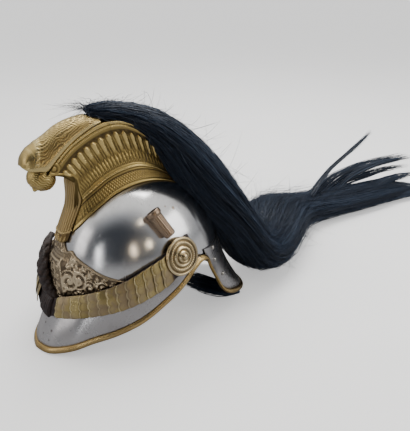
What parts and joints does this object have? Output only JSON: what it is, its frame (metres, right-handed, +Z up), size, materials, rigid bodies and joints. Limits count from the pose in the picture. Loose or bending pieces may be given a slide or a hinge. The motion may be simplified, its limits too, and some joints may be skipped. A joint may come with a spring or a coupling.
{
  "type": "cavalry helmet with crest, scaled chin straps and horsehair mane",
  "caption": "Steel cavalry helmet with a high brass crest, front plate, visor, neck guard, scaled chin straps, plume socket and a long black horsehair mane.",
  "frame": {"origin": "bottom centre of the whole helmet with its mane, on the surface it rests on", "axes": "+Z up; the helmet faces -Y, the mane trails towards +Y, the wearer's left side is +X"},
  "size_m": [0.2168, 0.8682, 0.2889],
  "materials": {
    "skull_steel": "polished steel with tarnish spots and fine scratches",
    "plate_steel": "worn steel with dark rust spots",
    "rivet_steel": "domed steel rivets",
    "edging_brass": "satin brass rolled edging",
    "plate_bronze": "stamped brass with a dark patina",
    "crest_brass": "stamped brass with dark hollows and bright ridges",
    "scale_brass": "small brass scales, polished yellow and dull mauve patches",
    "rosette_brass": "turned brass with beaded rings",
    "leather": "old dark brown leather",
    "socket_brass": "brown reeded brass",
    "horsehair": "black horsehair with a blue sheen"
  },
  "bodies": {
    "root": {"skull": "skull_steel", "visor": "plate_steel", "neck_guard": "plate_steel", "visor_edging": "edging_brass", "neck_edging": "edging_brass", "front_plate": "plate_bronze", "crest_side_left": "crest_brass", "crest_side_right": "crest_brass", "crest_top_strip": "crest_brass", "crest_cap": "crest_brass", "crest_stem": "crest_brass", "crest_head": "crest_brass", "chin_strap_left": "leather", "scale_left_01": "scale_brass", "scale_left_02": "scale_brass", "scale_left_03": "scale_brass", "scale_left_04": "scale_brass", "scale_left_05": "scale_brass", "scale_left_06": "scale_brass", "scale_left_07": "scale_brass", "scale_left_08": "scale_brass", "scale_left_09": "scale_brass", "scale_left_10": "scale_brass", "scale_left_11": "scale_brass", "scale_left_12": "scale_brass", "scale_left_13": "scale_brass", "rosette_left": "rosette_brass", "chin_strap_right": "leather", "scale_right_01": "scale_brass", "scale_right_02": "scale_brass", "scale_right_03": "scale_brass", "scale_right_04": "scale_brass", "scale_right_05": "scale_brass", "scale_right_06": "scale_brass", "scale_right_07": "scale_brass", "scale_right_08": "scale_brass", "scale_right_09": "scale_brass", "scale_right_10": "scale_brass", "scale_right_11": "scale_brass", "scale_right_12": "scale_brass", "scale_right_13": "scale_brass", "rosette_right": "rosette_brass", "chin_tie": "leather", "plume_socket": "socket_brass", "rivet_left_1": "rivet_steel", "rivet_right_1": "rivet_steel", "rivet_left_2": "rivet_steel", "rivet_right_2": "rivet_steel", "rivet_left_3": "rivet_steel", "rivet_right_3": "rivet_steel", "mane": "horsehair"}
  },
  "joints": []
}
